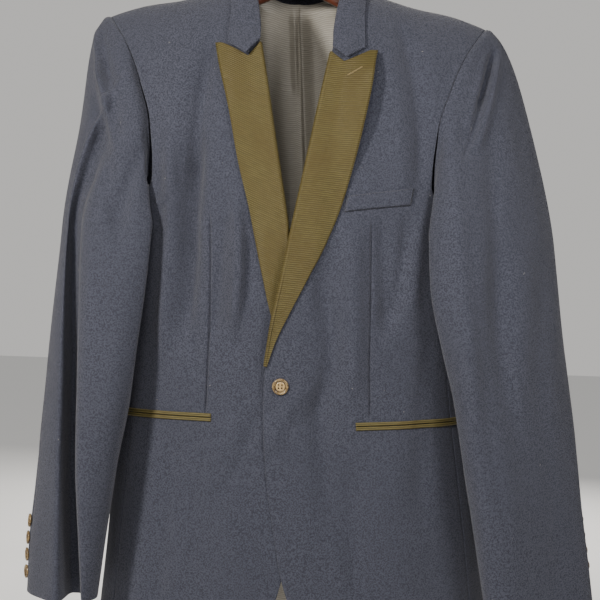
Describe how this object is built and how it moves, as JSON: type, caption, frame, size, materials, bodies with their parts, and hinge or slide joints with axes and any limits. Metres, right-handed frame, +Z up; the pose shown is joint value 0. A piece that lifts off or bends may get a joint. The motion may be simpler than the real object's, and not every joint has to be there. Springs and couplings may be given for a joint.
{
  "type": "tuxedo jacket on a hanger",
  "caption": "Tailored dinner jacket with ribbed silk peak lapels and silk pocket jets, hanging on a wooden hanger with a steel hook.",
  "frame": {"origin": "inside top of the hanger's hook, where the rail bears", "axes": "+X to the wearer's left, -Y to the jacket's front, +Z up"},
  "size_m": [0.6446, 0.1938, 0.869],
  "materials": {
    "wool": "fine navy-grey wool, dull",
    "silk": "olive-brown ribbed silk, soft sheen",
    "lining": "grey-taupe satin",
    "horn": "mottled brown horn, half gloss",
    "wood": "mahogany stain, varnished",
    "steel": "polished wire"
  },
  "bodies": {
    "root": {"front_left": "wool", "side_left": "wool", "back_left": "wool", "lapel_left": "silk", "sleeve_left_top": "wool", "sleeve_left_under": "wool", "sleeve_left_button_1": "horn", "sleeve_left_button_2": "horn", "sleeve_left_button_3": "horn", "sleeve_left_button_4": "horn", "pocket_left_upper": "silk", "pocket_left_lower": "silk", "front_right": "wool", "side_right": "wool", "back_right": "wool", "lapel_right": "silk", "sleeve_right_top": "wool", "sleeve_right_under": "wool", "sleeve_right_button_1": "horn", "sleeve_right_button_2": "horn", "sleeve_right_button_3": "horn", "sleeve_right_button_4": "horn", "pocket_right_upper": "silk", "pocket_right_lower": "silk", "collar_fall": "wool", "collar_stand": "wool", "chest_welt": "wool", "front_button": "horn", "back_lining": "lining", "hanger_body": "wood", "hanger_hook": "steel"}
  },
  "joints": []
}
